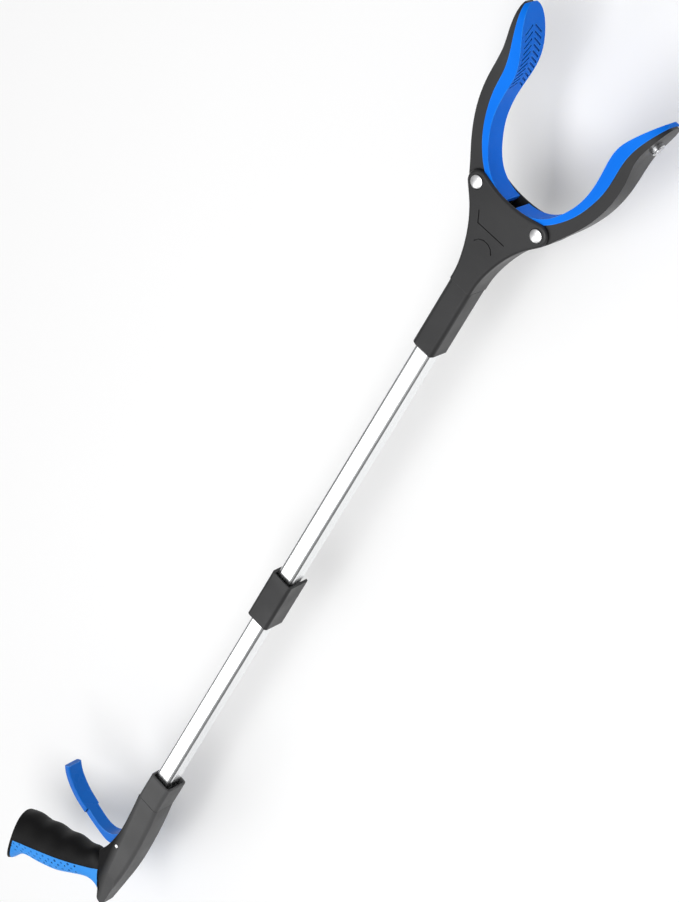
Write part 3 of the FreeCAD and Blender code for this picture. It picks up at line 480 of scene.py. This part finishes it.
def turned_rivet(name, node):
    low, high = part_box(node)
    x = (low[0] + high[0]) / 2
    y = (low[1] + high[1]) / 2
    head = (high[0] - low[0]) / 2
    back = head - 0.0004
    under_head = high[2] - HEAD_THICKNESS
    back_top = low[2] + BACK_THICKNESS
    profile = [(0.0, high[2])]
    for step in range(1, DOME_STEPS + 1):
        part = step / DOME_STEPS
        profile.append((head * DOME_SHARE * part, high[2] - DOME_DROP * part * part))
    profile += [(head * 0.975, high[2] - 0.00073), (head, high[2] - RIM_DROP)]
    profile += [(head, under_head), (SHANK_RADIUS, under_head), (SHANK_RADIUS, back_top), (back, back_top)]
    profile += [(back, low[2] + 0.0003), (head - 0.0007, low[2]), (0.0, low[2])]
    bpy.ops.object.select_all(action="DESELECT")
    bpy.ops.mesh.primitive_plane_add(size=0.001, location=(x, y, high[2]))
    piece = bpy.context.object
    piece.name = name
    bpy.ops.object.transform_apply(location=True, rotation=True, scale=True)
    bpy.ops.object.mode_set(mode="EDIT")
    bpy.ops.mesh.merge(type="CENTER")
    for (r0, z0), (r1, z1) in zip(profile, profile[1:]):
        bpy.ops.mesh.extrude_region_move(TRANSFORM_OT_translate={"value": (r1 - r0, 0.0, z1 - z0)})
    bpy.ops.mesh.select_all(action="SELECT")
    bpy.ops.mesh.spin(steps=96, angle=2 * math.pi, center=(x, y, 0.0), axis=(0.0, 0.0, 1.0))
    bpy.ops.mesh.select_all(action="SELECT")
    bpy.ops.mesh.remove_doubles(threshold=0.000004)
    bpy.ops.mesh.normals_make_consistent(inside=False)
    bpy.ops.object.mode_set(mode="OBJECT")
    bpy.ops.object.shade_smooth_by_angle(angle=math.radians(35))
    piece.data.materials.append(rivet_metal)
    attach(piece, "upper_shaft")
    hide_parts(node)
    print(name, "faces", len(piece.data.polygons), "head", round(head * 2000, 2), "mm")


turned_rivet("polished_rivet_left", "jaw_rivet_left")
turned_rivet("polished_rivet_right", "jaw_rivet_right")

# %% [markdown]
# ## Return spring
# The spring that opens the jaws sits between a washer in the neck and the pull block, and gets
# shorter as the trigger is squeezed. A rigid node can't do that, so the coil is modelled here: a
# small circle is the section of the wire, and a Screw modifier sweeps it round the cable. The piece
# rides with the upper shaft.

# %% Coil the return spring
low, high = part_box("return_spring")
COIL_RADIUS = 0.0036
COIL_TURNS = 9
wire = (high[0] - low[0]) / 2 - COIL_RADIUS
length = high[1] - low[1]
bpy.ops.object.select_all(action="DESELECT")
bpy.ops.mesh.primitive_circle_add(vertices=12, radius=wire, location=(COIL_RADIUS, low[1] + wire, 0.0))
spring = bpy.context.object
spring.name = "coiled_return_spring"
bpy.ops.object.transform_apply(location=True, rotation=True, scale=True)
coil = spring.modifiers.new("coil", "SCREW")
coil.axis = "Y"
coil.iterations = COIL_TURNS
coil.screw_offset = (length - 2 * wire) / COIL_TURNS
coil.steps = 32
coil.render_steps = 32
bpy.ops.object.modifier_apply(modifier="coil")
bpy.ops.object.mode_set(mode="EDIT")
bpy.ops.mesh.select_all(action="SELECT")
bpy.ops.mesh.fill_holes(sides=0)
bpy.ops.mesh.normals_make_consistent(inside=False)
bpy.ops.object.mode_set(mode="OBJECT")
bpy.ops.object.shade_smooth_by_angle(angle=math.radians(40))
spring.data.materials.append(zinc)
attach(spring, "upper_shaft")
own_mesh(spring)
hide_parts("return_spring")
print("spring wire", round(wire * 2000, 2), "mm, length", round(length * 1000, 1), "mm")

# %% [markdown]
# ## The cable's bend at the fold
# The cable runs on through the fold, so it has to bend when the head is swung back. The CAD model
# holds it as two straight lengths with a small gap between them. A short sleeve covers the gap: a
# circle extruded in many short steps along the cable.

# %% Cable sleeve
SLEEVE_START = -0.0062
SLEEVE_STEP = 0.00018
SLEEVE_STEPS = 38
SLEEVE_RADIUS = 0.00085
bpy.ops.object.select_all(action="DESELECT")
bpy.ops.mesh.primitive_circle_add(vertices=20, radius=SLEEVE_RADIUS, fill_type="NGON",
                                  location=(0.0, SLEEVE_START, 0.0), rotation=(math.radians(90), 0.0, 0.0))
sleeve = bpy.context.object
sleeve.name = "cable_bend_sleeve"
bpy.ops.object.transform_apply(location=True, rotation=True, scale=True)
bpy.ops.object.mode_set(mode="EDIT")
bpy.ops.mesh.select_all(action="SELECT")
for step in range(SLEEVE_STEPS):
    bpy.ops.mesh.extrude_region_move(TRANSFORM_OT_translate={"value": (0.0, SLEEVE_STEP, 0.0)})
bpy.ops.mesh.select_all(action="SELECT")
bpy.ops.mesh.normals_make_consistent(inside=False)
bpy.ops.object.mode_set(mode="OBJECT")
bpy.ops.object.shade_smooth_by_angle(angle=math.radians(40))
sleeve.data.materials.append(inner_grey)
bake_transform(sleeve)

# %% [markdown]
# ## Giving each CAD piece its material
# Each node keeps its mesh and only has its material slots filled. A table by material is short and
# shows at a glance that no piece is left with the plain colour it came with.

# %% Assign materials
FINISHES = {
    handle_grey: ["handle_shell_front", "handle_shell_back", "handle_collar"],
    charcoal: ["fold_housing", "neck_sleeve",
               "yoke_shell_front", "yoke_shell_back", "jaw_arm_left", "jaw_arm_right"],
    soft_blue: ["jaw_pad_left", "jaw_pad_right"],
    palm_blue_painted_lighter: ["grip_overmould"],
    trigger_blue: ["trigger"],
    inner_grey: ["cable_roller", "fold_knuckle", "pull_block"],
    aluminium: ["lower_tube", "upper_tube"],
    rivet_metal: ["jaw_rivet_left", "jaw_rivet_right", "trigger_pin"],
    zinc: ["cable_end_barrel", "cable_ferrule", "cable_roller_pin", "drive_pin_left", "drive_pin_right",
           "fold_pins", "handle_screws", "magnet_cup", "return_spring", "spring_seat", "yoke_screws"],
    nickel: ["magnet"],
    cable_metal: ["pull_cable_lower", "pull_cable_upper"],
}
finished = set()
for material, names in FINISHES.items():
    for name in names:
        node = nodes[name]
        node.data.materials.clear()
        node.data.materials.append(material)
        finished.add(name)
print("pieces without a finish:", sorted(set(nodes) - finished))
